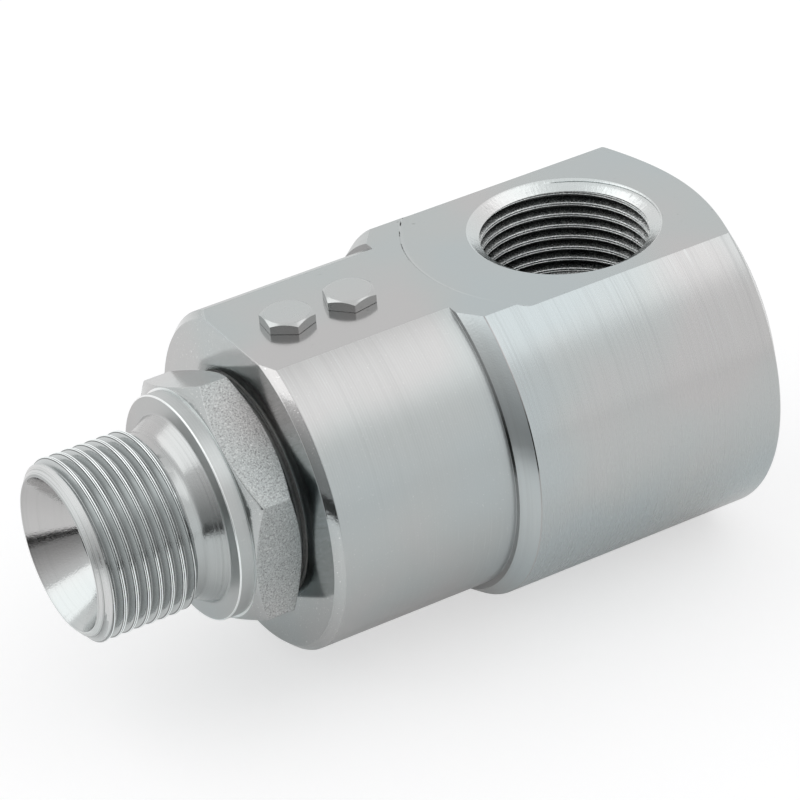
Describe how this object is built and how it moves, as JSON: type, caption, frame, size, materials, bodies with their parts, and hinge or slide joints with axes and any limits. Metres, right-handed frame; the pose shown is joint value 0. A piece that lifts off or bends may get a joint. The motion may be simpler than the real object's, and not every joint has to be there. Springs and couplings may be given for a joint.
{
  "type": "hydraulic swivel joint",
  "caption": "Right-angle hydraulic swivel joint: turned housing with a milled flat and threaded side port, and a ball-borne rotor with a spanner hexagon and male pipe thread.",
  "frame": {"origin": "centre of the housing's rear face, on the swivel axis", "axes": "+X along the swivel axis towards the male thread, +Z out of the side port, +Y completes the right-handed set"},
  "size_m": [0.1038, 0.055, 0.052],
  "materials": {
    "housing_steel": "zinc plated, turned and milled, bright",
    "rotor_steel": "zinc plated, turned, hexagon grainy",
    "plug_steel": "zinc plated, satin",
    "ball_steel": "polished bearing steel",
    "wiper": "satin, filled sealing plastic",
    "seal_rubber": "matt black rubber",
    "backup_plastic": "white sealing plastic"
  },
  "bodies": {
    "housing": {"housing": "housing_steel", "front_ball_plug": "plug_steel", "rear_ball_plug": "plug_steel", "wiper_ring": "wiper", "grease_o_ring": "seal_rubber", "pressure_o_ring": "seal_rubber", "front_backup_ring": "backup_plastic", "rear_backup_ring": "backup_plastic"},
    "rotor": {"rotor": "rotor_steel"},
    "front_balls": {"front_ball_01": "ball_steel", "front_ball_02": "ball_steel", "front_ball_03": "ball_steel", "front_ball_04": "ball_steel", "front_ball_05": "ball_steel", "front_ball_06": "ball_steel", "front_ball_07": "ball_steel", "front_ball_08": "ball_steel", "front_ball_09": "ball_steel", "front_ball_10": "ball_steel", "front_ball_11": "ball_steel", "front_ball_12": "ball_steel", "front_ball_13": "ball_steel", "front_ball_14": "ball_steel", "front_ball_15": "ball_steel", "front_ball_16": "ball_steel", "front_ball_17": "ball_steel", "front_ball_18": "ball_steel", "front_ball_19": "ball_steel"},
    "rear_balls": {"rear_ball_01": "ball_steel", "rear_ball_02": "ball_steel", "rear_ball_03": "ball_steel", "rear_ball_04": "ball_steel", "rear_ball_05": "ball_steel", "rear_ball_06": "ball_steel", "rear_ball_07": "ball_steel", "rear_ball_08": "ball_steel", "rear_ball_09": "ball_steel", "rear_ball_10": "ball_steel", "rear_ball_11": "ball_steel", "rear_ball_12": "ball_steel", "rear_ball_13": "ball_steel", "rear_ball_14": "ball_steel", "rear_ball_15": "ball_steel", "rear_ball_16": "ball_steel", "rear_ball_17": "ball_steel", "rear_ball_18": "ball_steel", "rear_ball_19": "ball_steel"}
  },
  "joints": [
    {"name": "rotor_spin", "type": "hinge", "parent": "housing", "child": "rotor", "pos_m": [0.0744, 0, 0], "axis": [1, 0, 0], "continuous": true},
    {"name": "front_balls_orbit", "type": "hinge", "parent": "housing", "child": "front_balls", "pos_m": [0.0656, 0, 0], "axis": [1, 0, 0], "continuous": true},
    {"name": "rear_balls_orbit", "type": "hinge", "parent": "housing", "child": "rear_balls", "pos_m": [0.05575, 0, 0], "axis": [1, 0, 0], "continuous": true}
  ],
  "couplings": [
    {"joint": "front_balls_orbit", "follows": "rotor_spin", "ratio": 0.4208},
    {"joint": "rear_balls_orbit", "follows": "rotor_spin", "ratio": 0.4208}
  ]
}
